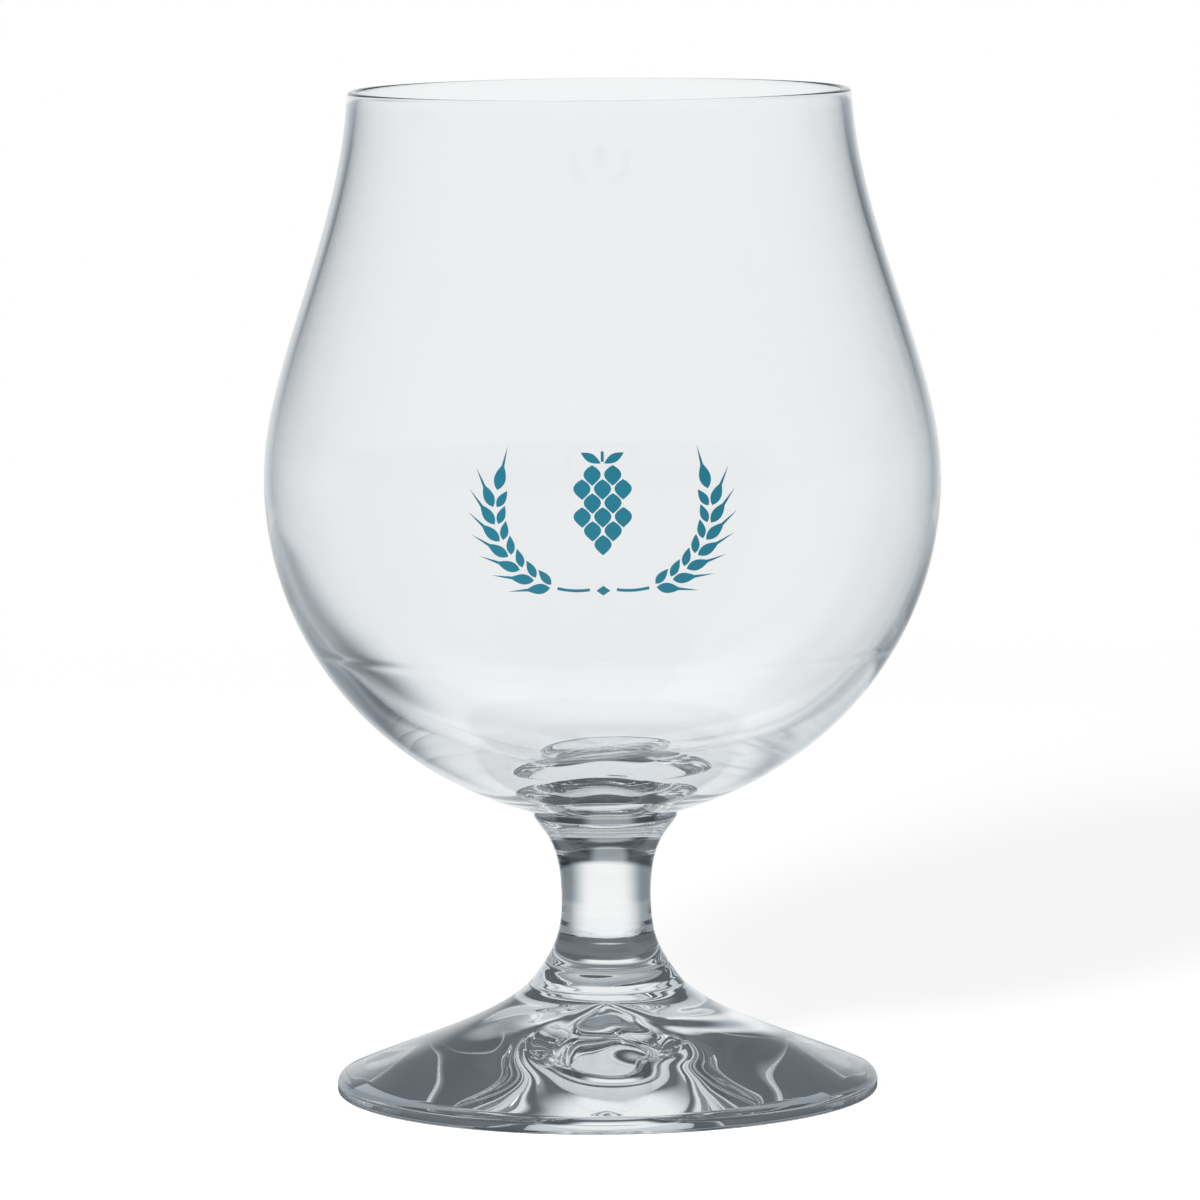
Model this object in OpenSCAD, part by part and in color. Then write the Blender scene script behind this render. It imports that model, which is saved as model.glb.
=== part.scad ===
// Stemmed beer glass: a tulip bowl on a short solid stem and a wide, gently domed foot,
// with a small fired-on wreath of barley round a hop cone on the front of the bowl.
// Sizes are in millimetres. The glass stands on z = 0, its axis is the z axis, and its front faces -y.

/* [Foot] */
// Outer diameter of the foot
foot_d = 80; // [66:0.5:96]
// Height of the foot up to its joint with the stem
foot_h = 16.8; // [13:0.1:24]
// Thickness of the rounded edge of the foot
foot_edge = 2.6; // [2:0.1:4]
// Width of the flat ring that the glass stands on
ring_w = 3; // [1.5:0.1:6]
// Rise of the hollow underside from that ring to the dimple
hollow_rise = 4.5; // [2:0.1:6]
// Diameter of the dimple in the middle of the underside
dimple_d = 17; // [10:0.5:24]
// Depth of the dimple above the hollow
dimple_h = 4.5; // [1:0.1:6]

/* [Stem] */
// Height of the stem between its two joints
stem_h = 24.8; // [20:0.2:60]
// Diameter of the stem at its neck
neck_d = 13.2; // [10:0.1:18]
// Height of the neck above the lower joint
neck_up = 11.8; // [8:0.2:15]
// Diameter of the joint between the foot and the stem
foot_joint_d = 21.3; // [19:0.1:25]
// Diameter of the joint between the stem and the bowl
bowl_joint_d = 21.2; // [19:0.1:25]
// Height of the straight collar under the bowl
collar_h = 0.8; // [0.4:0.1:2]

/* [Bowl] */
// Height of the bowl from its joint with the stem to the rim
bowl_h = 106.4; // [90:0.2:130]
// Outer diameter of the bowl at its widest
belly_d = 99.6; // [84:0.2:120]
// Height of the widest place above the joint
belly_up = 49.4; // [40:0.2:60]
// Outer diameter of the rim
rim_d = 73.9; // [60:0.1:84]
// Thickness of the glass at the rim
rim_wall = 1.5; // [1:0.1:2.5]
// Thickness of the glass at the widest place
belly_wall = 1.3; // [1:0.1:2.5]
// Thickness of the glass at the bottom of the bowl, over the stem
bowl_base = 4.2; // [3:0.1:7]

/* [Print] */
// Thickness of the fired ink
ink_t = 0.12; // [0.1:0.01:0.3]
// Radius of the arc that an ear of barley follows
ear_r = 11.5; // [9.5:0.1:13]
// Distance between the centres of the two ears' arcs
ears_apart = 7.4; // [6:0.2:12]
// Number of pairs of grains in an ear
grain_pairs = 7; // [4:1:7]
// Length of a grain
grain_l = 3.5; // [2.6:0.1:3.8]
// Width of a grain
grain_w = 1.5; // [1:0.05:1.6]
// Space between the roots of two grains side by side
grain_gap = 0.5; // [0.4:0.05:0.8]
// Length of the whisker at the tip of a grain
whisker_l = 2.5; // [1:0.1:4]
// Width of a whisker at its root, and of the stalk of an ear
stalk_w = 0.42; // [0.3:0.02:0.6]
// Length of a scale of the hop cone
scale_l = 2.9; // [2.2:0.1:3.2]
// Width of a scale of the hop cone
scale_w = 2.45; // [1.8:0.05:2.6]
// Space between two scales side by side
scale_gap = 0.45; // [0.3:0.05:0.8]
// Width of the lozenge between the stalks
lozenge_w = 2; // [1.2:0.1:2.6]

/* [Hidden] */

// Steps in each curve of an outline and in each rounded edge, and sides of a turned piece in the preview
curve_steps = 22;
arc_steps = 12;
turn_sides = 180;
// Steps along one edge of a leaf and along a stalk
leaf_steps = 8;

// Heights above the table
stem_z = foot_h;
bowl_z = stem_z + stem_h;
belly_z = bowl_z + belly_up;

// Handles of the curves, as shares of each curve's width and height: [width, height] for each end
foot_slope_shares = [[0.52, 0.46], [0.14, 0.35]];
stem_low_shares = [[0.70, 0.34], [0, 0.47]];
stem_high_shares = [[0, 0.72], [0.29, 0.19]];
bowl_low_shares = [[0.58, 0.125], [0, 0.487]];
bowl_high_shares = [[0, 0.29], [0.10, 0.37]];
inside_low_shares = [[0.63, 0], [0, 0.53]];
hollow_shares = [[0.33, 0.33], [0.5, 0.2]];
dimple_shares = [[0.25, 0.12], [0.5, 0.2]];

// Direction in degrees at which the rounded edge of the foot takes over from its slope
edge_turn = 67;
// Degrees round an ear's arc, counted from straight down: its stalk, its first grain and its tip
stalk_turns = [-9, 14];
grain_turns = [19, 104];
// Degrees that the outer and the inner grains lean away from the middle of their ear
outer_lean = 25;
inner_lean = 31;
// Size of an inner grain and of the tip's grain as shares of an outer grain
inner_share = 0.8;
tip_share = 1.1;
// Scales in each row of the hop cone, from the top down
scale_rows = [2, 3, 2, 3, 2, 1];
// Step from row to row as a share of a scale's length, and how near its root a leaf is widest
row_step_share = 0.68;
grain_fullness_share = 0.8;
scale_fullness_share = 0.9;
// Length of the hop cone's stalk and of its two top leaves, as shares of a scale's length
hop_stalk_share = 0.5;
hop_leaf_share = 1.1;
// Degrees that those leaves lean away from the stalk
hop_leaf_lean = 62;
// Height of the lozenge as a share of its width
lozenge_height_share = 0.7;
// Angle that the print's skin of ink reaches round the bowl
ink_sweep = 70;

// Points of a curve between two ends. Each handle is given as shares of the curve's width and height,
// measured from its own end towards the other.
function curve(from, to, shares) =
    let (
        reach = to - from,
        first = [from.x + shares[0].x * reach.x, from.y + shares[0].y * reach.y],
        second = [to.x - shares[1].x * reach.x, to.y - shares[1].y * reach.y]
    )
    [for (i = [0:curve_steps])
        let (t = i / curve_steps, s = 1 - t)
        s * s * s * from + 3 * s * s * t * first + 3 * s * t * t * second + t * t * t * to];

// Points of an arc about a centre, from one direction to another
function arc(centre, r, from, to) =
    [for (i = [0:arc_steps]) let (a = from + (to - from) * i / arc_steps) centre + r * [cos(a), sin(a)]];

function backwards(points) = [for (i = [len(points) - 1:-1:0]) points[i]];

// Outside of the bowl from its joint up to the lip
function bowl_outside() = concat(
    curve([bowl_joint_d / 2, bowl_z], [belly_d / 2, belly_z], bowl_low_shares),
    curve([belly_d / 2, belly_z], [rim_d / 2, bowl_z + bowl_h - rim_wall / 2], bowl_high_shares)
);

// Inside of the bowl from its bottom up to the lip
function bowl_inside() = concat(
    curve([0, bowl_z + bowl_base], [belly_d / 2 - belly_wall, belly_z], inside_low_shares),
    curve(
        [belly_d / 2 - belly_wall, belly_z],
        [rim_d / 2 - rim_wall, bowl_z + bowl_h - rim_wall / 2],
        bowl_high_shares
    )
);

// Blown bowl with a rounded lip, thin at the belly and thick over the stem
module bowl() {
    lip = [rim_d / 2 - rim_wall / 2, bowl_z + bowl_h - rim_wall / 2];
    color([0.86, 0.90, 0.92, 0.35])
    rotate_extrude($fn = turn_sides)
    polygon(concat(
        [[0, bowl_z]],
        bowl_outside(),
        arc(lip, rim_wall / 2, 0, 180),
        backwards(bowl_inside())
    ));
}

// Solid stem, narrowest at its neck and spread at both joints
module stem() {
    neck = [neck_d / 2, stem_z + neck_up];
    color([0.66, 0.71, 0.74, 0.6])
    rotate_extrude($fn = turn_sides)
    polygon(concat(
        [[0, stem_z]],
        curve([foot_joint_d / 2, stem_z], neck, stem_low_shares),
        curve(neck, [bowl_joint_d / 2, bowl_z - collar_h], stem_high_shares),
        [[bowl_joint_d / 2, bowl_z], [0, bowl_z]]
    ));
}

// Pressed foot: a sloping top, a rounded edge, a flat ring to stand on and a hollow underside
module foot() {
    edge = [foot_d / 2 - foot_edge / 2, foot_edge / 2];
    rounding = arc(edge, foot_edge / 2, -90, edge_turn);
    hollow = [dimple_d / 2, hollow_rise];
    color([0.56, 0.62, 0.66, 0.6])
    rotate_extrude($fn = turn_sides)
    polygon(concat(
        curve([0, hollow_rise + dimple_h], hollow, dimple_shares),
        curve(hollow, [foot_d / 2 - foot_edge / 2 - ring_w, 0], hollow_shares),
        rounding,
        curve(rounding[len(rounding) - 1], [foot_joint_d / 2, foot_h], foot_slope_shares),
        [[0, foot_h]]
    ));
}

// Skin of ink that lies on the outside of the bowl, round its front
module ink_skin(reach) {
    face = [for (p = bowl_outside()) if (abs(p.y - belly_z) < reach) p];
    rotate([0, 0, -90 - ink_sweep / 2])
    rotate_extrude(angle = ink_sweep, $fn = turn_sides)
    polygon(concat(face, [for (p = backwards(face)) p + [ink_t, 0]]));
}

// Puts a flat shape onto the front of the bowl, with its origin at the bowl's widest place
module printed() {
    color([0.145, 0.467, 0.549])
    intersection() {
        rotate([90, 0, 0])
        linear_extrude(belly_d / 2 + grain_l)
        translate([0, belly_z])
        children();
        ink_skin(ear_r + grain_l + whisker_l);
    }
}

// Pointed oval that starts at the origin and runs along x
module leaf(length, width, fullness) {
    edge = [for (i = [0:leaf_steps])
        let (t = i / leaf_steps)
        [length * t, width / 2 * sin(180 * pow(t, fullness))]];
    polygon(concat(edge, [for (i = [leaf_steps - 1:-1:1]) [edge[i].x, -edge[i].y]]));
}

// Place on the arc of the right ear, a little outside it or inside it
function on_arc(turn, grow) = [ears_apart / 2 + (ear_r + grow) * sin(turn), -(ear_r + grow) * cos(turn)];

// One grain of an ear. It leans by an angle from the middle of the ear and may carry a whisker.
module grain(turn, side, lean, size_share, whisker) {
    length = grain_l * size_share;
    translate(on_arc(turn, -side * grain_gap / 2))
    rotate(turn + side * lean) {
        leaf(length, grain_w * size_share, grain_fullness_share);
        if (whisker)
            polygon([
                [length - stalk_w, stalk_w / 2],
                [length + whisker_l, 0],
                [length - stalk_w, -stalk_w / 2]
            ]);
    }
}

// An ear of barley on the right: a stalk, pairs of grains and one grain at the tip
module ear() {
    stalk = [for (i = [0:leaf_steps]) stalk_turns[0] + (stalk_turns[1] - stalk_turns[0]) * i / leaf_steps];
    polygon(concat(
        [for (a = stalk) on_arc(a, stalk_w / 2)],
        [for (a = backwards(stalk)) on_arc(a, -stalk_w / 2)]
    ));
    for (i = [0:grain_pairs - 1]) {
        turn = grain_turns[0] + (grain_turns[1] - grain_turns[0]) * i / grain_pairs;
        grain(turn, -1, outer_lean, 1, true);
        grain(turn, 1, inner_lean, inner_share, false);
    }
    grain(grain_turns[1], 0, 0, tip_share, true);
}

module barley_right() {
    printed() ear();
}

module barley_left() {
    printed() mirror([1, 0]) ear();
}

// Hop cone of pointed scales in rows, with a short stalk and two leaves at its top
module hop_cone() {
    pitch = scale_w + scale_gap;
    row_step = scale_l * row_step_share;
    top = (scale_l + row_step * (len(scale_rows) - 1)) / 2;
    printed() {
        for (row = [0:len(scale_rows) - 1], i = [0:scale_rows[row] - 1])
            translate([(i - (scale_rows[row] - 1) / 2) * pitch, top - row * row_step])
            rotate(-90)
            leaf(scale_l, scale_w, scale_fullness_share);
        for (side = [-1, 1])
            translate([side * scale_gap / 2, top + scale_gap / 2])
            rotate(90 - side * hop_leaf_lean)
            leaf(scale_l * hop_leaf_share, scale_w / 2, 1);
        translate([-stalk_w / 2, top + scale_gap])
        square([stalk_w, scale_l * hop_stalk_share]);
    }
}

module lozenge() {
    half = [lozenge_w / 2, lozenge_w * lozenge_height_share / 2];
    printed()
    translate([0, -ear_r])
    polygon([[-half.x, 0], [0, -half.y], [half.x, 0], [0, half.y]]);
}

foot();
stem();
bowl();
barley_left();
barley_right();
hop_cone();
lozenge();
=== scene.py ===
"""Looks of a stemmed tulip beer glass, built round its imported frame.

The bowl, the stem and the foot are finely turned glass meshes over their solids, and the print keeps
its solids and gets a fired-ink finish. Lengths are metres in the frame's own axes: the glass stands on
z = 0, its axis is the z axis, and its print faces -Y.
"""

import logging
import math
from dataclasses import dataclass
from enum import Enum
from typing import Any, Callable, ClassVar

import bpy
import numpy as np
from mathutils import Matrix, Vector


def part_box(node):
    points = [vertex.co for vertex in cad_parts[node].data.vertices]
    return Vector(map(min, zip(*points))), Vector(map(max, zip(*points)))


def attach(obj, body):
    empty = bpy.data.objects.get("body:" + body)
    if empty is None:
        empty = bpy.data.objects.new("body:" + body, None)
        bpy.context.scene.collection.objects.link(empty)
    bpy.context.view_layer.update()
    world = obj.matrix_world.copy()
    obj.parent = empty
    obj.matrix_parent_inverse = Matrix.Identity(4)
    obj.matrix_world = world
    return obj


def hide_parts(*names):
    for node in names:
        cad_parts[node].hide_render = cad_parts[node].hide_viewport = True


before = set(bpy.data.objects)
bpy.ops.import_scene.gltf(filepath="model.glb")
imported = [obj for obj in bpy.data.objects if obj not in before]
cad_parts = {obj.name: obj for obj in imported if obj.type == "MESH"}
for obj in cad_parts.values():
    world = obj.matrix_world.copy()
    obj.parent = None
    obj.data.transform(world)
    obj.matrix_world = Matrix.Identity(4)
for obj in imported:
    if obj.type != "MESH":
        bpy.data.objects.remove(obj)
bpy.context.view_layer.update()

LOG = logging.getLogger("beer_glass")
BODY = "root"
MM = 0.001
TINY = 1e-12
SHARP_ANGLE = 35
BOWL_JOINT_RADIUS = 10.6 * MM
FOOT_JOINT_RADIUS = 10.65 * MM

# The bowl's two walls have four skins. Light mirrored more than seven times is led round in a wall.
BOWL_SKINS = 4
LED_MIRRORINGS = 7

Point = tuple[float, float]
Span = tuple[float, float]
Shares = tuple[Point, Point]
Colour = tuple[float, float, float]
Value = float | bpy.types.NodeSocket


class Side(Enum):
    """Which side of a turned piece a stretch of its outline makes."""

    OUTSIDE = 0
    INSIDE = 1
    EDGE = 2
    JOINT = 3


@dataclass(frozen=True)
class Stretch:
    """One stretch of an outline: its points from start to end, as (radius, height), and its side."""

    points: np.ndarray
    side: Side


def curve(start: Point, end: Point, shares: Shares, steps: int) -> np.ndarray:
    """Points of a smooth curve between two ends.

    Args:
        start: First point, as (radius, height).
        end: Last point.
        shares: Handles as shares of the curve's width and height, each measured from its own end.
        steps: Number of steps along the curve.

    Returns:
        The points, one row each.
    """
    a, d = np.array(start), np.array(end)
    b, c = a + np.array(shares[0]) * (d - a), d - np.array(shares[1]) * (d - a)
    t = np.linspace(0, 1, steps + 1)[:, None]
    s = 1 - t
    return s**3 * a + 3 * s**2 * t * b + 3 * s * t**2 * c + t**3 * d


def arc(centre: Point, radius: float, start: float, end: float, steps: int) -> np.ndarray:
    """Points of an arc.

    Args:
        centre: Centre, as (radius, height).
        radius: Radius of the arc.
        start: First direction in degrees, counted from outwards towards up.
        end: Last direction in degrees.
        steps: Number of steps along the arc.

    Returns:
        The points, one row each.
    """
    turn = np.radians(np.linspace(start, end, steps + 1))
    return np.array(centre) + radius * np.column_stack([np.cos(turn), np.sin(turn)])


@dataclass(frozen=True)
class Wave:
    """One wave that blowing or pressing leaves round a turned surface.

    It swells by so much at its middle height and dies away over its spread. Its crests are counted
    round the axis, from a start in degrees, and lean by so many degrees per millimetre of height. A
    wave without crests is a ring.
    """

    swell: float
    middle: float
    spread: float
    crests: int = 0
    start: float = 0.0
    lean: float = 0.0

    def at(self, turn: np.ndarray, height: np.ndarray) -> np.ndarray:
        """How far the wave moves the surface.

        Args:
            turn: Turns about the axis in radians.
            height: Heights over the table.

        Returns:
            The moves, which are positive where the surface swells.
        """
        up = height - self.middle
        phase = self.crests * turn + np.radians(self.start + self.lean * up / MM)
        return self.swell * np.exp(-((up / self.spread) ** 2)) * np.cos(phase)


def summed(waves: tuple[Wave, ...], turn: np.ndarray, height: np.ndarray) -> np.ndarray:
    """How far several waves together move the surface."""
    return sum((wave.at(turn, height) for wave in waves), np.zeros(np.broadcast(turn, height).shape))


def joined(stretches: list[Stretch]) -> tuple[np.ndarray, np.ndarray]:
    """Joins the stretches of an outline.

    Args:
        stretches: The stretches in order, each of which starts where the one before it ends.

    Returns:
        The points, one row each, and the number of each point's side.
    """
    parts = [stretches[0].points] + [stretch.points[1:] for stretch in stretches[1:]]
    sides = [np.full(len(part), stretch.side.value) for part, stretch in zip(parts, stretches)]
    return np.vstack(parts), np.concatenate(sides)


def ring_faces(rings: int, sides: int) -> list[tuple[int, ...]]:
    """Faces of a turned mesh, whose points are its rings in order and then its two poles.

    Args:
        rings: Number of rings.
        sides: Number of points in a ring.

    Returns:
        The faces between the rings in order, then those round the first and the last pole.
    """
    here = np.arange(sides)
    after = (here + 1) % sides
    faces: list[tuple[int, ...]] = []
    for low in range(0, (rings - 1) * sides, sides):
        high = low + sides
        faces += zip(low + here, low + after, high + after, high + here)
    last_ring, first_pole, last_pole = (rings - 1) * sides, rings * sides, rings * sides + 1
    faces += [(first_pole, b, a) for a, b in zip(here, after)]
    faces += [(last_pole, a, b) for a, b in zip(last_ring + here, last_ring + after)]
    return [tuple(int(corner) for corner in face) for face in faces]


Unevenness = Callable[[np.ndarray, np.ndarray, np.ndarray], np.ndarray]


def turned(name: str, stretches: list[Stretch], sides: int, uneven: Unevenness) -> bpy.types.Object:
    """Turns an outline round the z axis into a closed mesh.

    Args:
        name: Name of the new piece.
        stretches: The outline's stretches in order. It starts and ends on the axis.
        sides: Number of sides round the axis.
        uneven: Gives how far each point of a ring moves along the outline's normal, from the turn
            about the axis in radians, the height and the side's number.

    Returns:
        The new object, with joint faces in its second material slot.
    """
    points, marks = joined(stretches)
    rings = points[1:-1]
    along = np.gradient(points, axis=0)[1:-1]
    normal = np.column_stack([along[:, 1], -along[:, 0]])
    normal /= np.linalg.norm(normal, axis=1)[:, None] + TINY
    turn = np.arange(sides) * (2 * math.pi / sides)
    push = uneven(turn[None, :], rings[:, 1][:, None], marks[1:-1][:, None])
    radius = rings[:, 0][:, None] + push * normal[:, 0][:, None]
    height = rings[:, 1][:, None] + push * normal[:, 1][:, None]
    body = np.stack([radius * np.cos(turn), radius * np.sin(turn), height], axis=-1).reshape(-1, 3)
    poles = np.array([[0, 0, points[0, 1]], [0, 0, points[-1, 1]]])
    mesh = bpy.data.meshes.new(name)
    mesh.from_pydata(np.vstack([body, poles]).tolist(), [], ring_faces(len(rings), sides))
    is_joint = (marks == Side.JOINT.value).astype(int)
    slots = np.repeat(np.concatenate([is_joint[2:-1], is_joint[1:2], is_joint[-1:]]), sides)
    mesh.polygons.foreach_set("material_index", slots.tolist())
    mesh.shade_smooth()
    mesh.set_sharp_from_angle(angle=math.radians(SHARP_ANGLE))
    mesh.update()
    piece = bpy.data.objects.new(name, mesh)
    bpy.context.scene.collection.objects.link(piece)
    return piece


class Nodes:
    """A node tree under construction."""

    def __init__(self, tree: bpy.types.NodeTree) -> None:
        """Empties the tree and keeps it."""
        self.tree = tree
        tree.nodes.clear()

    def add(self, kind: str, settings: dict[str, Any] | None = None, **inputs: Any) -> bpy.types.Node:
        """Adds a node.

        Args:
            kind: Type of the node, without its leading ShaderNode.
            settings: Values of the node's own properties.
            **inputs: Input values or output sockets, by the input's name with _ for a space, or by
                its number after i.

        Returns:
            The new node.
        """
        node = self.tree.nodes.new("ShaderNode" + kind)
        for key, value in (settings or {}).items():
            setattr(node, key, value)
        for key, value in inputs.items():
            number = key[1:] if key[0] == "i" and key[1:].isdigit() else None
            socket = node.inputs[int(number)] if number else node.inputs[key.replace("_", " ")]
            if isinstance(value, bpy.types.NodeSocket):
                self.tree.links.new(value, socket)
            else:
                socket.default_value = value
        return node

    def maths(self, operation: str, *values: Value) -> bpy.types.NodeSocket:
        """Adds a Math node on up to three values and returns its output."""
        sockets = {f"i{number}": value for number, value in enumerate(values)}
        return self.add("Math", {"operation": operation}, **sockets).outputs[0]

    def product(self, first: Value, *others: Value) -> Value:
        """Multiplies values.

        Args:
            first: The first value.
            *others: The other values.

        Returns:
            Their product.
        """
        for other in others:
            first = self.maths("MULTIPLY", first, other)
        return first

    def step(self, value: Value, span: Span, start: Value = 0.0, end: Value = 1.0) -> bpy.types.NodeSocket:
        """Maps a value smoothly from a span onto another.

        Args:
            value: The value.
            span: Where the mapping starts and ends.
            start: What the value becomes up to the span's first end.
            end: What it becomes from the span's second end on.

        Returns:
            The output.
        """
        node = self.add(
            "MapRange",
            {"interpolation_type": "SMOOTHSTEP"},
            Value=value,
            From_Min=span[0],
            From_Max=span[1],
            To_Min=start,
            To_Max=end,
        )
        return node.outputs[0]

    def lean(self, share: Value, first: Value, second: Value) -> bpy.types.NodeSocket:
        """Mixes two levels by a share and returns the output."""
        return self.add("Mix", {"data_type": "FLOAT"}, i0=share, i2=first, i3=second).outputs[0]

    def blend(self, share: Value, first: Colour, second: Colour) -> bpy.types.NodeSocket:
        """Mixes two colours by a share and returns the output."""
        node = self.add("Mix", {"data_type": "RGBA"}, i0=share, i6=(*first, 1), i7=(*second, 1))
        return node.outputs[2]

    def ramp(self, value: Value, stops: tuple[tuple[float, Colour], ...]) -> bpy.types.NodeSocket:
        """Adds a colour ramp.

        Args:
            value: The place on the ramp.
            stops: Its stops, each as a place and a colour.

        Returns:
            The ramp's colour there.
        """
        node = self.add("ValToRGB", None, Fac=value)
        marks = node.color_ramp.elements
        while len(marks) < len(stops):
            marks.new(0.5)
        for mark, (place, colour) in zip(marks, stops):
            mark.position = place
            mark.color = (*colour, 1)
        return node.outputs[0]


def blank(name: str) -> tuple[bpy.types.Material, Nodes]:
    """Makes a material without nodes.

    Args:
        name: Name of the material.

    Returns:
        The material and its tree.
    """
    material = bpy.data.materials.new(name)
    material.use_nodes = True
    return material, Nodes(material.node_tree)


@dataclass(frozen=True)
class ClearGlass:
    """Finish of fire-polished clear glass, with the faint waves that blowing and pressing leave.

    Glass given a painted edge shade is greyer where its skin stands upright and is seen aslant: this is
    painted shade, not a tint of the glass. The edge's lean and width are the ranges over which both set in.
    """

    name: str = "clear_glass"
    tint: Colour = (0.99, 0.995, 0.997)
    painted_edge_shade: Colour | None = None
    edge_lean: Span = (0.22, 0.42)
    edge_width: Span = (0.04, 0.42)
    ior: float = 1.51
    wave_size: float = 9 * MM
    wave_detail: float = 1.5
    wave_height: float = 0.004 * MM

    def edge_shade_colour(self, nodes: Nodes) -> bpy.types.NodeSocket:
        """Adds the change from the tint to the painted edge shade.

        Args:
            nodes: The finish's tree.

        Returns:
            The colour.
        """
        # Painted shade: the mask darkens skin that stands upright and is seen aslant.
        aslant = nodes.add("LayerWeight", None, Blend=0.5).outputs["Facing"]
        normal = nodes.add("SeparateXYZ", None, Vector=nodes.add("NewGeometry").outputs["Normal"]).outputs
        upright = nodes.step(nodes.maths("ABSOLUTE", normal[2]), self.edge_lean, 1.0, 0.0)
        edge = nodes.product(nodes.step(aslant, self.edge_width), upright)
        return nodes.blend(edge, self.tint, self.painted_edge_shade)

    def make(self) -> bpy.types.Material:
        """Makes the material.

        Returns:
            The material.
        """
        material, nodes = blank(self.name)
        place = nodes.add("TexCoord").outputs["Object"]
        wave = nodes.add("TexNoise", None, Vector=place, Scale=1 / self.wave_size, Detail=self.wave_detail)
        bump = nodes.add("Bump", None, Height=wave.outputs[0], Strength=1.0, Distance=self.wave_height)
        shader = nodes.add(
            "BsdfPrincipled",
            None,
            Base_Color=self.edge_shade_colour(nodes) if self.painted_edge_shade else (*self.tint, 1),
            Roughness=0.0,
            IOR=self.ior,
            Transmission_Weight=1.0,
            Normal=bump.outputs[0],
        )
        nodes.add("OutputMaterial", None, Surface=shader.outputs[0])
        return material


@dataclass(frozen=True)
class FusedJoint:
    """Finish of the faces inside the glass where two pieces are fused: nothing shows there."""

    name: str = "fused_joint"

    def make(self) -> bpy.types.Material:
        """Makes the material.

        Returns:
            The material.
        """
        material, nodes = blank(self.name)
        nodes.add("OutputMaterial", None, Surface=nodes.add("BsdfTransparent").outputs[0])
        return material


@dataclass(frozen=True)
class FiredInk:
    """Finish of screen-printed ceramic ink: opaque teal, satin, with a fine grain from the screen."""

    name: str = "fired_ink"
    colour: Colour = (0.0185, 0.184, 0.262)
    cloud_size: float = 4.2 * MM
    cloud_detail: float = 2.0
    shade_spread: float = 0.06
    grain_size: float = 0.35 * MM
    grain_detail: float = 3.0
    grain_height: float = 0.006 * MM
    grain_strength: float = 0.6
    grain_span: Span = (0.3, 0.7)
    roughness: Span = (0.34, 0.46)
    sheen: float = 0.22
    ior: float = 1.5

    def make(self) -> bpy.types.Material:
        """Makes the material.

        Returns:
            The material.
        """
        material, nodes = blank(self.name)
        place = nodes.add("TexCoord").outputs["Object"]
        cloud = nodes.add("TexNoise", None, Vector=place, Scale=1 / self.cloud_size, Detail=self.cloud_detail)
        dark = tuple(c * (1 - self.shade_spread) for c in self.colour)
        light = tuple(c * (1 + self.shade_spread) for c in self.colour)
        grain = nodes.add("TexNoise", None, Vector=place, Scale=1 / self.grain_size, Detail=self.grain_detail)
        bump = nodes.add(
            "Bump",
            None,
            Height=grain.outputs[0],
            Strength=self.grain_strength,
            Distance=self.grain_height,
        )
        shader = nodes.add(
            "BsdfPrincipled",
            None,
            Base_Color=nodes.blend(cloud.outputs[0], dark, light),
            Roughness=nodes.step(grain.outputs[0], self.grain_span, *self.roughness),
            Specular_IOR_Level=self.sheen,
            IOR=self.ior,
            Normal=bump.outputs[0],
        )
        nodes.add("OutputMaterial", None, Surface=shader.outputs[0])
        return material


def placed(piece: bpy.types.Object, node: str) -> bpy.types.Object:
    """Puts a finished piece in the frame.

    Args:
        piece: The piece, already in its place.
        node: The solid that it stands for.

    Returns:
        The same piece.
    """
    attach(piece, BODY)
    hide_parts(node)
    return piece


@dataclass
class TurnedPiece:
    """What the bowl, the stem and the foot have in common: glass turned about the axis."""

    node: ClassVar[str]
    outer_waves: tuple[Wave, ...] = ()
    inner_waves: tuple[Wave, ...] = ()
    sides: int = 256

    def outline(self) -> list[Stretch]:
        """The piece's outline, from the axis and back to it."""
        raise NotImplementedError

    def uneven(self, turn: np.ndarray, height: np.ndarray, side: np.ndarray) -> np.ndarray:
        """How far the surface moves inwards or outwards from the true outline."""
        inside = (side == Side.INSIDE.value) * summed(self.inner_waves, turn, height)
        return inside + (side == Side.OUTSIDE.value) * summed(self.outer_waves, turn, height)

    def build(self, glass: bpy.types.Material, joint: bpy.types.Material) -> bpy.types.Object:
        """Builds and dresses the piece.

        Args:
            glass: Finish of its skin.
            joint: Finish of the faces that are fused to its neighbours.

        Returns:
            The piece in its place.
        """
        piece = turned("glass_" + self.node, self.outline(), self.sides, self.uneven)
        piece.data.materials.append(glass)
        piece.data.materials.append(joint)
        return placed(piece, self.node)


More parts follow.
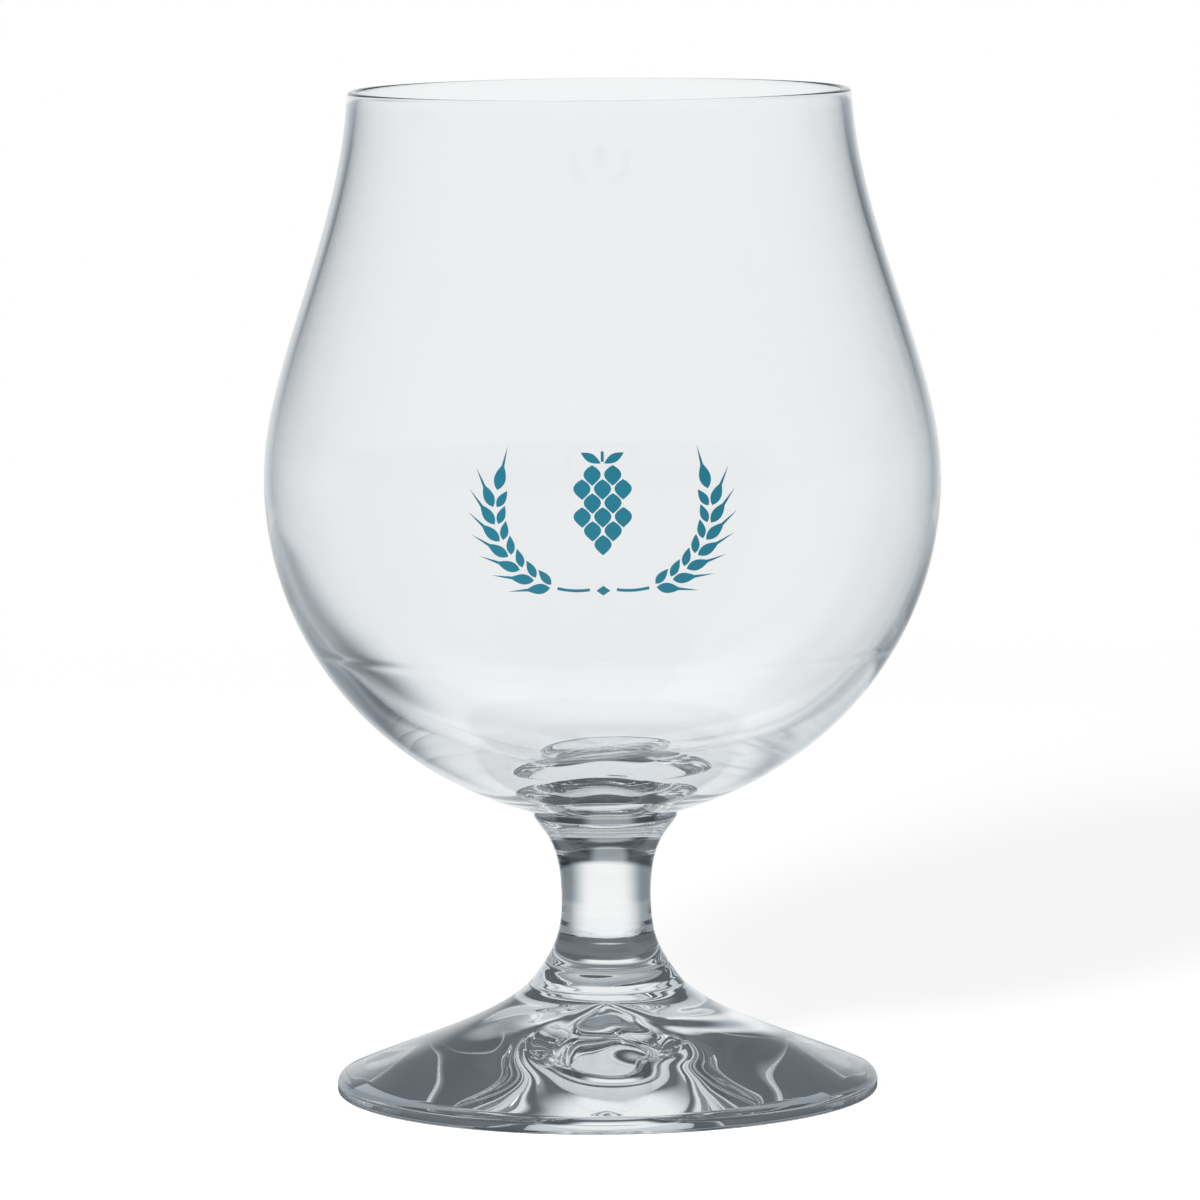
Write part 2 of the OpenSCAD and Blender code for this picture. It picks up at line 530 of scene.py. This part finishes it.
@dataclass
class Bowl(TurnedPiece):
    """Blown bowl, thin at the belly and thick over the stem, with a rounded lip."""

    node: ClassVar[str] = "bowl"
    belly_up: float = 49.4 * MM
    rim_radius: float = 36.95 * MM
    rim_wall: float = 1.5 * MM
    belly_wall: float = 1.3 * MM
    base: float = 4.2 * MM
    low_shares: Shares = ((0.58, 0.125), (0, 0.487))
    high_shares: Shares = ((0, 0.29), (0.10, 0.37))
    inside_shares: Shares = ((0.63, 0), (0, 0.53))
    low_steps: int = 80
    high_steps: int = 50
    lip_steps: int = 16
    inside_high_steps: int = 45
    inside_low_steps: int = 160
    outer_waves: tuple[Wave, ...] = (
        Wave(swell=0.03 * MM, middle=60 * MM, spread=8 * MM, crests=4, start=70, lean=5),
    )
    inner_waves: tuple[Wave, ...] = (
        Wave(swell=0.16 * MM, middle=54 * MM, spread=9 * MM, crests=2, start=200, lean=6),
        Wave(swell=0.08 * MM, middle=51 * MM, spread=5 * MM, crests=5, start=40, lean=-14),
        Wave(swell=0.05 * MM, middle=62 * MM, spread=7 * MM, crests=3, start=110, lean=9),
        Wave(swell=0.05 * MM, middle=48 * MM, spread=3 * MM, crests=7, start=300, lean=20),
        Wave(swell=0.03 * MM, middle=67 * MM, spread=0.6 * MM),
    )

    def outline(self) -> list[Stretch]:
        """Draws the outline.

        Returns:
            Its stretches from the joint's middle round the lip to the bowl's bottom.
        """
        low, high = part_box("bowl")
        joint = (BOWL_JOINT_RADIUS, low.z)
        belly = (high.x, low.z + self.belly_up)
        inner_belly = (high.x - self.belly_wall, belly[1])
        lip = (self.rim_radius - self.rim_wall / 2, high.z - self.rim_wall / 2)
        rim = (self.rim_radius, lip[1])
        inner_rim = (self.rim_radius - self.rim_wall, lip[1])
        inside_low = curve((0, low.z + self.base), inner_belly, self.inside_shares, self.inside_low_steps)
        inside_high = curve(inner_belly, inner_rim, self.high_shares, self.inside_high_steps)
        return [
            Stretch(np.array([(0, low.z), joint]), Side.JOINT),
            Stretch(curve(joint, belly, self.low_shares, self.low_steps), Side.OUTSIDE),
            Stretch(curve(belly, rim, self.high_shares, self.high_steps), Side.OUTSIDE),
            Stretch(arc(lip, self.rim_wall / 2, 0, 180, self.lip_steps), Side.EDGE),
            Stretch(inside_high[::-1], Side.INSIDE),
            Stretch(inside_low[::-1], Side.INSIDE),
        ]


@dataclass
class Stem(TurnedPiece):
    """Solid stem, narrowest at its neck and spread at both joints."""

    node: ClassVar[str] = "stem"
    neck_radius: float = 6.6 * MM
    neck_up: float = 11.8 * MM
    collar: float = 0.8 * MM
    low_shares: Shares = ((0.70, 0.34), (0, 0.47))
    high_shares: Shares = ((0, 0.72), (0.29, 0.19))
    steps: int = 70
    outer_waves: tuple[Wave, ...] = (
        Wave(swell=0.03 * MM, middle=27 * MM, spread=4 * MM, crests=5, start=20, lean=30),
        Wave(swell=0.02 * MM, middle=34 * MM, spread=4 * MM, crests=3, start=250, lean=-25),
        Wave(swell=0.04 * MM, middle=20 * MM, spread=3 * MM, crests=4, start=130, lean=20),
        Wave(swell=-0.05 * MM, middle=18.9 * MM, spread=0.35 * MM),
        Wave(swell=0.02 * MM, middle=30.4 * MM, spread=0.4 * MM),
        Wave(swell=-0.03 * MM, middle=23.6 * MM, spread=0.3 * MM),
    )
    sides: int = 224

    def outline(self) -> list[Stretch]:
        """Draws the outline.

        Returns:
            Its stretches from the lower joint's middle to the upper joint's middle.
        """
        low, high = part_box("stem")
        base = (FOOT_JOINT_RADIUS, low.z)
        neck = (self.neck_radius, low.z + self.neck_up)
        shoulder = (BOWL_JOINT_RADIUS, high.z - self.collar)
        top = (BOWL_JOINT_RADIUS, high.z)
        return [
            Stretch(np.array([(0, low.z), base]), Side.JOINT),
            Stretch(curve(base, neck, self.low_shares, self.steps), Side.OUTSIDE),
            Stretch(curve(neck, shoulder, self.high_shares, self.steps), Side.OUTSIDE),
            Stretch(np.array([shoulder, top]), Side.OUTSIDE),
            Stretch(np.array([top, (0, high.z)]), Side.JOINT),
        ]


@dataclass
class Foot(TurnedPiece):
    """Pressed foot: a sloping top, a rounded edge, a flat ring to stand on and a hollow underside."""

    node: ClassVar[str] = "foot"
    edge: float = 2.6 * MM
    edge_turn: float = 67
    heel: float = 0.4 * MM
    ring: float = 3 * MM
    hollow_rise: float = 4.5 * MM
    dimple_radius: float = 8.5 * MM
    dimple_rise: float = 4.5 * MM
    slope_shares: Shares = ((0.53, 0.43), (0.15, 0.37))
    hollow_shares: Shares = ((0.33, 0.33), (0.5, 0.2))
    dimple_shares: Shares = ((0.25, 0.12), (0.5, 0.2))
    slope_steps: int = 90
    edge_steps: int = 20
    heel_steps: int = 12
    hollow_steps: int = 60
    dimple_steps: int = 40
    outer_waves: tuple[Wave, ...] = (
        Wave(swell=0.05 * MM, middle=8 * MM, spread=2.5 * MM, crests=3, start=60, lean=12),
        Wave(swell=0.03 * MM, middle=10 * MM, spread=3 * MM, crests=7, start=200, lean=-20),
        Wave(swell=-0.04 * MM, middle=15.8 * MM, spread=0.3 * MM),
    )
    inner_waves: tuple[Wave, ...] = (
        Wave(swell=0.12 * MM, middle=3 * MM, spread=1.6 * MM, crests=4, start=30, lean=60),
        Wave(swell=0.10 * MM, middle=6 * MM, spread=1.6 * MM, crests=3, start=250, lean=-50),
        Wave(swell=0.06 * MM, middle=4 * MM, spread=1.8 * MM, crests=9, start=140, lean=90),
    )

    def outline(self) -> list[Stretch]:
        """Draws the outline.

        Returns:
            Its stretches from the dimple's middle round the edge to the joint's middle.
        """
        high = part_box("foot")[1]
        centre = (high.x - self.edge / 2, self.edge / 2)
        heel = (high.x - self.heel, self.heel)
        rounding = arc(centre, self.edge / 2, 0, self.edge_turn, self.edge_steps)
        crown = (0, self.hollow_rise + self.dimple_rise)
        hollow = (self.dimple_radius, self.hollow_rise)
        ring = (centre[0] - self.ring, 0.0)
        joint = (FOOT_JOINT_RADIUS, high.z)
        return [
            Stretch(curve(crown, hollow, self.dimple_shares, self.dimple_steps), Side.INSIDE),
            Stretch(curve(hollow, ring, self.hollow_shares, self.hollow_steps), Side.INSIDE),
            Stretch(np.array([ring, (heel[0], 0.0)]), Side.EDGE),
            Stretch(arc(heel, self.heel, -90, 0, self.heel_steps), Side.EDGE),
            Stretch(np.vstack([(high.x, self.heel), rounding]), Side.EDGE),
            Stretch(curve(tuple(rounding[-1]), joint, self.slope_shares, self.slope_steps), Side.OUTSIDE),
            Stretch(np.array([joint, (0, high.z)]), Side.JOINT),
        ]


@dataclass
class Print:
    """The fired print, whose solids have their right shape and get a finer finish."""

    areas: tuple[str, ...] = ("barley_left", "barley_right", "hop_cone", "lozenge")

    def build(self, ink: bpy.types.Material) -> list[bpy.types.Object]:
        """Dresses each area of the print.

        Args:
            ink: Finish of the areas.

        Returns:
            The areas.
        """
        dressed = []
        for area in self.areas:
            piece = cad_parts[area]
            piece.data.materials.clear()
            piece.data.materials.append(ink)
            dressed.append(piece)
        return dressed


class LightNodes(Nodes):
    """A node tree that sets light by where it comes from and by what the glass did to it.

    A turn about the axis is in degrees: 0 behind the glass and positive to the right.
    """

    tones: ClassVar[tuple[tuple[float, Colour], ...]] = (
        (0.0, (0.0, 0.0, 0.0)),
        (0.10, (0.086, 0.10, 0.112)),
        (0.30, (0.27, 0.305, 0.335)),
        (0.70, (0.67, 0.71, 0.735)),
        (1.0, (1.0, 1.0, 1.0)),
    )

    def __init__(self, tree: bpy.types.NodeTree, coordinates: str) -> None:
        """Starts the tree with the place or direction that the light comes from, and its turn."""
        super().__init__(tree)
        self.place = self.add("TexCoord").outputs[coordinates]
        self.way = self.add("SeparateXYZ", None, Vector=self.place).outputs
        self.turn = self.product(self.maths("ARCTAN2", self.way[0], self.way[1]), math.degrees(1))

    def path(self, name: str) -> bpy.types.NodeSocket:
        """What is known of the light's path, by the name of the output."""
        return self.add("LightPath").outputs[name]

    def mirrored_over(self, times: int) -> bpy.types.NodeSocket:
        """Whether the glass mirrored the light more often than a number of times: 1 if it did."""
        return self.maths("GREATER_THAN", self.path("Glossy Depth"), times + 0.5)

    def passed_over(self, times: int) -> bpy.types.NodeSocket:
        """Whether the light passed the glass's skin more often than a number of times: 1 if it did."""
        return self.maths("GREATER_THAN", self.path("Transmission Depth"), times + 0.5)

    def glassy(self) -> bpy.types.NodeSocket:
        """Whether light comes from glass and lights nothing dull behind it: 1 if so."""
        glass = self.maths("MAXIMUM", self.path("Is Glossy Ray"), self.path("Is Transmission Ray"))
        return self.product(glass, self.maths("LESS_THAN", self.path("Diffuse Depth"), 0.5))

    def aside(self, turn: float) -> bpy.types.NodeSocket:
        """How many degrees the light's turn lies to either side of a turn."""
        return self.maths("ABSOLUTE", self.maths("SUBTRACT", self.turn, turn))

    def fourfold(self) -> bpy.types.NodeSocket:
        """How near the light's turn is to one of the four sides: 1 on a side and -1 half way between."""
        turn = self.maths("ARCTAN2", self.way[0], self.way[1])
        return self.maths("COSINE", self.product(turn, 4.0))

    def by_path(self, bent: Value, mirrored: Value, led: Value) -> bpy.types.NodeSocket:
        """Picks a level by what the glass did to the light.

        Args:
            bent: Level where the glass only bent the light.
            mirrored: Level where it mirrored the light as well.
            led: Level where it led the light round or through the bowl's walls.

        Returns:
            The level.
        """
        along = self.maths("MAXIMUM", self.mirrored_over(LED_MIRRORINGS), self.passed_over(BOWL_SKINS))
        return self.lean(self.mirrored_over(0), bent, self.lean(along, mirrored, led))

    def tone(self, level: Value) -> bpy.types.NodeSocket:
        """Colour of the surroundings at a level of light: cooler where they are darker."""
        return self.ramp(level, self.tones)


class SkyNodes(LightNodes):
    """The world's tree, where light comes from a direction with a rise in degrees."""

    def __init__(self, tree: bpy.types.NodeTree) -> None:
        """Starts the tree with the light's direction."""
        super().__init__(tree, "Generated")
        self.rise = self.product(self.maths("ARCSINE", self.way[2]), math.degrees(1))


class BoardNodes(LightNodes):
    """The board's tree, where light comes from a place so many foot radii away from the axis.

    How aslant the light leaves the board runs from 0 straight up to 1 along the board.
    """

    def __init__(self, tree: bpy.types.NodeTree, foot_radius: float) -> None:
        """Starts the tree with the light's place on the board."""
        super().__init__(tree, "Object")
        length = self.add("VectorMath", {"operation": "LENGTH"}, i0=self.place).outputs["Value"]
        self.away = self.maths("DIVIDE", length, foot_radius)
        self.aslant = self.add("LayerWeight", None, Blend=0.5).outputs["Facing"]


@dataclass(frozen=True)
class SoftLamp:
    """Soft round lamp in front of the glass, to the left and above."""

    distance: float = 1.5
    turn: float = -22
    rise: float = 27
    size: float = 0.32
    power: float = 13.5
    aim_height: float = 0.06

    def way(self) -> Vector:
        """Direction from the glass to the lamp."""
        turn, rise = math.radians(self.turn), math.radians(self.rise)
        return Vector((math.sin(turn) * math.cos(rise), -math.cos(turn) * math.cos(rise), math.sin(rise)))

    def build(self) -> bpy.types.Object:
        """Hangs the lamp, which shines on the ink and the board and isn't seen in the glass.

        Returns:
            The lamp.
        """
        light = bpy.data.lights.new("soft_lamp", "AREA")
        light.shape = "DISK"
        light.size = self.size
        light.energy = self.power
        lamp = bpy.data.objects.new("soft_lamp", light)
        bpy.context.scene.collection.objects.link(lamp)
        lamp.location = Vector((0, 0, self.aim_height)) + self.way() * self.distance
        lamp.rotation_mode = "QUATERNION"
        lamp.rotation_quaternion = self.way().to_track_quat("Z", "Y")
        lamp.visible_camera = False
        lamp.visible_glossy = False
        lamp.visible_transmission = False
        return lamp


@dataclass(frozen=True)
class Room:
    """The room round the glass, as levels of light by their turn and rise in degrees.

    Light that the glass only bends comes from the white sweep, which is a little darker between four
    sides where it lies far off, and from a dark wall above it. Mirrored light comes from the sweep
    only straight behind the glass, where the sweep is the backdrop, which is wider for the outer skin
    than inside. Other mirrored light comes from the walls, the ceiling and, after two mirrorings, the
    lamp's glint. Light that is led round inside the bowl's wall comes from the sweep again, and is
    dimmer to the sides and in front.
    """

    lamp: SoftLamp = SoftLamp()
    glint: float = 1.6
    glint_width: float = 16.0
    ambient: float = 0.25
    ambient_through: float = 0.85
    sweep: float = 0.95
    sweep_between: float = 0.62
    sweep_sides: Span = (-1.0, 0.55)
    sweep_far: Span = (-12.5, -9.0)
    sweep_top: Span = (5.0, 11.0)
    far_wall: float = 0.06
    far_wall_behind: float = 0.34
    backdrop: float = 0.90
    backdrop_turn: float = -3
    backdrop_width: Span = (9.0, 19.0)
    backdrop_foot: Span = (-1.0, 4.0)
    backdrop_top: Span = (16.0, 30.0)
    skin_backdrop_width: Span = (14.0, 34.0)
    skin_backdrop_top: Span = (9.0, 20.0)
    low_wall: float = 0.42
    wall: float = 0.085
    skin_wall: float = 0.34
    wall_foot: Span = (-3.0, 6.0)
    ceiling: float = 0.75
    ceiling_edge: Span = (34.0, 50.0)
    ceiling_width: Span = (85.0, 55.0)
    led: float = 0.80
    led_left: float = 0.45
    led_left_turn: float = -58.0
    led_left_width: float = 14.0
    led_right: float = 0.24
    led_right_edge: Span = (64.0, 92.0)
    led_front: float = 0.22
    led_front_edge: Span = (112.0, 128.0)

    def behind(self, nodes: LightNodes) -> bpy.types.NodeSocket:
        """How far the light's turn lies straight behind the glass.

        Args:
            nodes: The tree.

        Returns:
            The share: 1 behind the glass and 0 beside it.
        """
        aside = nodes.aside(self.backdrop_turn)
        skin = nodes.step(aside, self.skin_backdrop_width, 1.0, 0.0)
        return nodes.lean(nodes.passed_over(0), skin, nodes.step(aside, self.backdrop_width, 1.0, 0.0))

    def sweep_seen(self, nodes: LightNodes, far: Value) -> bpy.types.NodeSocket:
        """Level of the sweep.

        Args:
            nodes: The tree.
            far: How far the light comes from the sweep's far part: 1 if so.

        Returns:
            The level.
        """
        by_side = nodes.step(nodes.fourfold(), self.sweep_sides, self.sweep_between, self.sweep)
        return nodes.lean(far, self.sweep, by_side)

    def bent(self, nodes: SkyNodes) -> bpy.types.NodeSocket:
        """Level of light that the glass only bent.

        Args:
            nodes: The world's tree.

        Returns:
            The level.
        """
        wall = nodes.lean(self.behind(nodes), self.far_wall, self.far_wall_behind)
        sweep = self.sweep_seen(nodes, nodes.step(nodes.rise, self.sweep_far))
        return nodes.lean(nodes.step(nodes.rise, self.sweep_top), sweep, wall)

    def mirrored(self, nodes: SkyNodes) -> bpy.types.NodeSocket:
        """Level of light that the glass mirrored.

        Args:
            nodes: The world's tree.

        Returns:
            The level.
        """
        inside = nodes.passed_over(0)
        wall = nodes.lean(inside, self.skin_wall, self.wall)
        walls = nodes.step(nodes.rise, self.wall_foot, self.low_wall, wall)
        level = nodes.maths("COSINE", nodes.maths("ARCSINE", nodes.way[2]))
        ahead = nodes.maths("DIVIDE", nodes.way[1], level)
        ceiling_ahead = tuple(math.cos(math.radians(turn)) for turn in self.ceiling_width)
        above = nodes.product(nodes.step(nodes.rise, self.ceiling_edge), nodes.step(ahead, ceiling_ahead))
        room = nodes.lean(above, walls, self.ceiling)
        foot = nodes.lean(inside, 1.0, nodes.step(nodes.rise, self.backdrop_foot))
        top = nodes.step(nodes.rise, self.backdrop_top, 1.0, 0.0)
        top = nodes.lean(inside, nodes.step(nodes.rise, self.skin_backdrop_top, 1.0, 0.0), top)
        return nodes.lean(nodes.product(self.behind(nodes), foot, top), room, self.backdrop)

    def led_round(self, nodes: SkyNodes) -> bpy.types.NodeSocket:
        """Level of light that was led round inside the bowl's wall.

        Args:
            nodes: The world's tree.

        Returns:
            The level.
        """
        left = nodes.aside(self.led_left_turn)
        left = nodes.step(left, (0.0, self.led_left_width), self.led_left, self.led)
        right = nodes.step(nodes.turn, self.led_right_edge, self.led, self.led_right)
        front = nodes.step(nodes.aside(0.0), self.led_front_edge)
        return nodes.lean(front, nodes.maths("MINIMUM", left, right), self.led_front)

    def build(self) -> None:
        """Sets the world: white to the camera, and the room to the glass."""
        world = bpy.data.worlds.new("studio")
        bpy.context.scene.world = world
        world.use_nodes = True
        world.cycles.sampling_method = "NONE"
        nodes = SkyNodes(world.node_tree)
        way = nodes.add("VectorMath", {"operation": "DOT_PRODUCT"}, i0=nodes.place, i1=self.lamp.way())
        width = math.cos(math.radians(self.glint_width))
        spark = nodes.step(way.outputs["Value"], (width, (1 + width) / 2))
        shine = nodes.product(spark, nodes.mirrored_over(1))
        level = nodes.by_path(self.bent(nodes), self.mirrored(nodes), self.led_round(nodes))
        colour = nodes.tone(nodes.lean(shine, level, 1.0))
        room = nodes.add("Background", None, Color=colour, Strength=nodes.lean(shine, 1.0, self.glint))
        dim = nodes.lean(nodes.passed_over(BOWL_SKINS), self.ambient, self.ambient_through)
        white = nodes.lean(nodes.path("Is Camera Ray"), dim, 1.0)
        plain = nodes.add("Background", None, Color=(1, 1, 1, 1), Strength=white)
        both = nodes.add("MixShader", None, i0=nodes.glassy(), i1=plain.outputs[0], i2=room.outputs[0])
        nodes.add("OutputWorld", None, Surface=both.outputs[0])


@dataclass(frozen=True)
class WhiteBoard:
    """White board under the glass, and what the glass sees in it.

    To the eye the board is white with the glass's light shadow, and glows so that its edge meets the
    white behind it unseen. To the glass alone it glows instead with painted light and shade. Light that the
    glass bends comes from the sweep, from the glass's own shade painted on the board, or from a painted
    dark strip at the left that shows through both of the bowl's walls. Mirrored light comes from painted
    shade under the foot, from a painted pool of light round it and, farther off, from the foot of the
    walls. Places on the board are in foot radii from the axis.
    """

    room: Room = Room()
    radius: float = 0.62
    corners: int = 96
    rim: Span = (0.7, 0.97)
    own_light: float = 0.765
    paint: float = 0.60
    under: Span = (1.0, 1.14)
    middle: Span = (0.4, 0.7)
    shade: float = 0.10
    shade_middle: float = 0.16
    bent_shade: float = 0.28
    bent_shade_above: float = 0.85
    above: Span = (0.15, 0.45)
    far: Span = (0.78, 0.84)
    near: Span = (1.2, 3.5)
    painted_strip: float = 0.22
    painted_strip_start: Span = (-60.0, -40.0)
    painted_strip_slant: Span = (0.70, 0.77)
    steep_painted_strip_start: Span = (-32.0, -24.0)
    steep_painted_strip_slant: Span = (0.60, 0.70)
    painted_strip_end: Span = (-17.5, -10.5)
    painted_strip_reach: Span = (12.0, 15.3)
    pool: float = 0.85
    pool_edge: Span = (1.25, 2.2)
    low_left: float = 0.11
    low_left_start: Span = (-95.0, -78.0)
    low_left_end: Span = (-34.0, -24.0)
    low_left_reach: Span = (2.6, 4.1)
    low_behind: float = 0.85
    stem_pool: float = 0.64
    stem_pool_far: float = 0.08
    stem_pool_edge: Span = (1.0, 1.1)
    stem_pool_again: Span = (2.0, 4.0)
    deep_pool: float = 0.11
    deep_pool_edge: Span = (1.18, 1.45)
    led_under: float = 0.22

    def foot_radius(self) -> float:
        """Radius of the foot that stands on the board."""
        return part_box("foot")[1].x

    def bent(self, nodes: BoardNodes, under: Value) -> bpy.types.NodeSocket:
        """Level of light that the glass only bent.

        Args:
            nodes: The board's tree.
            under: How far the light comes from under the foot: 1 if so.

        Returns:
            The level.
        """
        # Painted dark strip, seen only through both of the bowl's walls.
        wide = nodes.product(
            nodes.step(nodes.turn, self.painted_strip_start),
            nodes.step(nodes.aslant, self.painted_strip_slant),
        )
        steep = nodes.product(
            nodes.step(nodes.turn, self.steep_painted_strip_start),
            nodes.step(nodes.aslant, self.steep_painted_strip_slant),
        )
        painted_strip = nodes.product(
            nodes.maths("MAXIMUM", wide, steep),
            nodes.step(nodes.turn, self.painted_strip_end, 1.0, 0.0),
            nodes.step(nodes.away, self.painted_strip_reach, 1.0, 0.0),
            nodes.passed_over(BOWL_SKINS - 1),
        )
        sweep = self.room.sweep_seen(nodes, nodes.step(nodes.aslant, self.far))
        sweep = nodes.lean(nodes.step(nodes.away, self.near, 1.0, 0.0), sweep, self.room.sweep)
        # Painted shade of the glass under the foot.
        shade = nodes.step(nodes.aslant, self.above, self.bent_shade_above, self.bent_shade)
        return nodes.lean(under, nodes.lean(painted_strip, sweep, self.painted_strip), shade)

    def mirrored(self, nodes: BoardNodes, under: Value) -> bpy.types.NodeSocket:
        """Level of light that the glass mirrored.

        Args:
            nodes: The board's tree.
            under: How far the light comes from under the foot: 1 if so.

        Returns:
            The level.
        """
        left = nodes.product(
            nodes.step(nodes.turn, self.low_left_start),
            nodes.step(nodes.turn, self.low_left_end, 1.0, 0.0),
            nodes.step(nodes.away, self.low_left_reach, 1.0, 0.0),
        )
        low = nodes.lean(self.room.behind(nodes), self.room.low_wall, self.low_behind)
        low = nodes.lean(left, low, self.low_left)
        # Painted pool of light round the foot, painted shade under it and painted pools round the stem's
        # foot.
        pool = nodes.lean(nodes.step(nodes.away, self.pool_edge), self.pool, low)
        shade = nodes.step(nodes.away, self.middle, self.shade_middle, self.shade)
        stem_pool = nodes.step(nodes.away, self.stem_pool_edge, self.stem_pool, self.stem_pool_far)
        stem_pool = nodes.lean(nodes.step(nodes.away, self.stem_pool_again), stem_pool, self.stem_pool)
        often = nodes.product(nodes.mirrored_over(1), nodes.passed_over(1))
        few = nodes.lean(often, nodes.lean(under, pool, shade), stem_pool)
        deep = nodes.step(nodes.away, self.deep_pool_edge, self.deep_pool, self.room.led)
        return nodes.lean(nodes.mirrored_over(3), few, deep)

    def to_the_eye(self, nodes: BoardNodes) -> bpy.types.NodeSocket:
        """Adds the white paint and the board's own light.

        Args:
            nodes: The board's tree.

        Returns:
            Their shader.
        """
        rim = tuple(share * self.radius / self.foot_radius() for share in self.rim)
        share = nodes.step(nodes.away, rim, self.paint, 0.0)
        white = nodes.add("CombineColor", None, i0=share, i1=share, i2=share).outputs[0]
        paint = nodes.add("BsdfDiffuse", None, Color=white)
        glow = nodes.step(nodes.away, rim, self.own_light, 1.0)
        own = nodes.add("Emission", None, Color=(1, 1, 1, 1), Strength=glow)
        return nodes.add("AddShader", None, i0=paint.outputs[0], i1=own.outputs[0]).outputs[0]

    def finish(self) -> bpy.types.Material:
        """Makes the board's material.

        Returns:
            The material.
        """
        material = bpy.data.materials.new("white_sweep")
        material.use_nodes = True
        nodes = BoardNodes(material.node_tree, self.foot_radius())
        # Painted light and shade: to the glass the board glows with painted shade under the foot, painted
        # pools of light and a painted dark strip.
        under = nodes.step(nodes.away, self.under, 1.0, 0.0)
        dim = nodes.maths("SUBTRACT", under, nodes.passed_over(BOWL_SKINS))
        led = nodes.lean(dim, self.room.led, self.led_under)
        level = nodes.by_path(self.bent(nodes, under), self.mirrored(nodes, under), led)
        room = nodes.add("Emission", None, Color=nodes.tone(level), Strength=1.0)
        plain = self.to_the_eye(nodes)
        both = nodes.add("MixShader", None, i0=nodes.glassy(), i1=plain, i2=room.outputs[0])
        nodes.add("OutputMaterial", None, Surface=both.outputs[0])
        return material

    def build(self) -> bpy.types.Object:
        """Lays the board.

        Returns:
            The board, which is a part of the stage.
        """
        turn = np.arange(self.corners) * (2 * math.pi / self.corners)
        ring = np.column_stack([np.cos(turn), np.sin(turn), np.zeros(self.corners)]) * self.radius
        mesh = bpy.data.meshes.new("floor")
        mesh.from_pydata(ring.tolist(), [], [tuple(range(self.corners))])
        mesh.materials.append(self.finish())
        board = bpy.data.objects.new("floor", mesh)
        bpy.context.scene.collection.objects.link(board)
        return board


@dataclass
class Studio:
    """The studio: a room, a white board, a soft lamp, and how far light is followed."""

    room: Room = Room()
    board: WhiteBoard = WhiteBoard()
    mirrorings: int = 64
    passes: int = 40
    bounces: int = 72
    clear_faces: int = 32

    def build(self) -> None:
        """Builds the studio and sets how light is followed."""
        self.room.build()
        self.board.build()
        self.room.lamp.build()
        scene = bpy.context.scene
        scene.view_settings.view_transform = "Standard"
        scene.cycles.max_bounces = self.bounces
        scene.cycles.transmission_bounces = self.passes
        scene.cycles.glossy_bounces = self.mirrorings
        scene.cycles.transparent_max_bounces = self.clear_faces
        scene.cycles.caustics_reflective = False
        scene.cycles.caustics_refractive = True
        scene.cycles.blur_glossy = 0.0


@dataclass
class Camera:
    """Camera at the photograph's viewing angle, far off with a long lens."""

    distance: float = 1.1416
    height: float = 0.2004
    pitch: float = 6.38
    roll: float = -0.5
    focal_pixels: float = 7793
    frame_pixels: float = 1200
    axis_offset_pixels: float = 3.5
    sensor: float = 36.0
    reach: Span = (0.05, 50.0)

    def build(self) -> bpy.types.Object:
        """Places the camera and makes it the scene's.

        Returns:
            The camera.
        """
        data = bpy.data.cameras.new("camera")
        data.sensor_width = self.sensor
        data.lens = self.sensor * self.focal_pixels / self.frame_pixels
        data.shift_x = -self.axis_offset_pixels / self.frame_pixels
        data.clip_start, data.clip_end = self.reach
        camera = bpy.data.objects.new("camera", data)
        bpy.context.scene.collection.objects.link(camera)
        aim = Matrix.Rotation(math.radians(90 - self.pitch), 4, "X")
        lean = Matrix.Rotation(math.radians(self.roll), 4, "Z")
        camera.matrix_world = Matrix.Translation((0, -self.distance, self.height)) @ aim @ lean
        bpy.context.scene.camera = camera
        return camera


def main() -> None:
    """Builds the camera, the studio and each piece of the glass in order."""
    logging.basicConfig(level=logging.INFO, format="%(name)s: %(message)s")
    Camera().build()
    Studio().build()
    glass = ClearGlass().make()
    # The stem's glass carries painted shade where its upright skin is seen aslant.
    stem_glass = ClearGlass(name="stem_glass", painted_edge_shade=(0.16, 0.19, 0.21)).make()
    joint = FusedJoint().make()
    for part, skin in ((Bowl(), glass), (Stem(), stem_glass), (Foot(), glass)):
        piece = part.build(skin, joint)
        LOG.info("%s: %d faces", piece.name, len(piece.data.polygons))
    for piece in Print().build(FiredInk().make()):
        LOG.info("%s: dressed as it is", piece.name)


if __name__ == "__main__":
    main()
